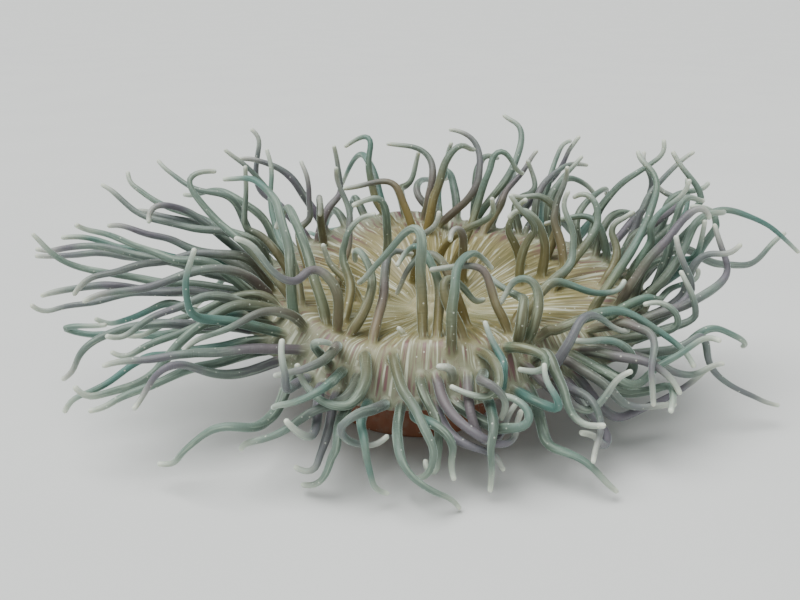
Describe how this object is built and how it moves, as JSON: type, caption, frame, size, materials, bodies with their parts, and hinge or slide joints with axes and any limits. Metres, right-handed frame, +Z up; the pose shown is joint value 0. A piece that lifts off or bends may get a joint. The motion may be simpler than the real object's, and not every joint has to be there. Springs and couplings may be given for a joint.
{
  "type": "sea anemone",
  "caption": "Sea anemone: a round foot and short column under a broad, wavy oral disc fringed with long, tapering tentacles that trail outwards over a floor.",
  "frame": {"origin": "centre of the foot's flat underside, on the floor", "axes": "+X to the animal's right as seen from the front, -Y to the front, +Z up"},
  "size_m": [0.5188, 0.3381, 0.1686],
  "materials": {
    "foot_flesh": "moist, matte",
    "column_flesh": "moist, matte",
    "disc_flesh": "moist, satin",
    "lip_flesh": "moist, satin",
    "tentacle_flesh": "moist, satin, slightly translucent"
  },
  "bodies": {
    "root": {"collar": "column_flesh", "column": "column_flesh", "disc_sector_01": "tentacle_flesh", "disc_sector_02": "tentacle_flesh", "disc_sector_03": "tentacle_flesh", "disc_sector_04": "tentacle_flesh", "disc_sector_05": "tentacle_flesh", "disc_sector_06": "tentacle_flesh", "disc_sector_07": "tentacle_flesh", "disc_sector_08": "tentacle_flesh", "disc_sector_09": "tentacle_flesh", "disc_sector_10": "tentacle_flesh", "disc_sector_11": "tentacle_flesh", "disc_sector_12": "tentacle_flesh", "foot": "foot_flesh", "lips": "lip_flesh", "oral_disc": "disc_flesh", "rim_sector_01": "tentacle_flesh", "rim_sector_02": "tentacle_flesh", "rim_sector_03": "tentacle_flesh", "rim_sector_04": "tentacle_flesh", "rim_sector_05": "tentacle_flesh", "rim_sector_06": "tentacle_flesh", "rim_sector_07": "tentacle_flesh", "rim_sector_08": "tentacle_flesh", "rim_sector_09": "tentacle_flesh", "rim_sector_10": "tentacle_flesh", "rim_sector_11": "tentacle_flesh", "rim_sector_12": "tentacle_flesh", "rim_sector_13": "tentacle_flesh", "rim_sector_14": "tentacle_flesh", "rim_sector_15": "tentacle_flesh", "rim_sector_16": "tentacle_flesh", "rim_sector_17": "tentacle_flesh", "rim_sector_18": "tentacle_flesh", "rim_sector_19": "tentacle_flesh", "rim_sector_20": "tentacle_flesh", "rim_sector_21": "tentacle_flesh", "rim_sector_22": "tentacle_flesh"}
  },
  "joints": []
}
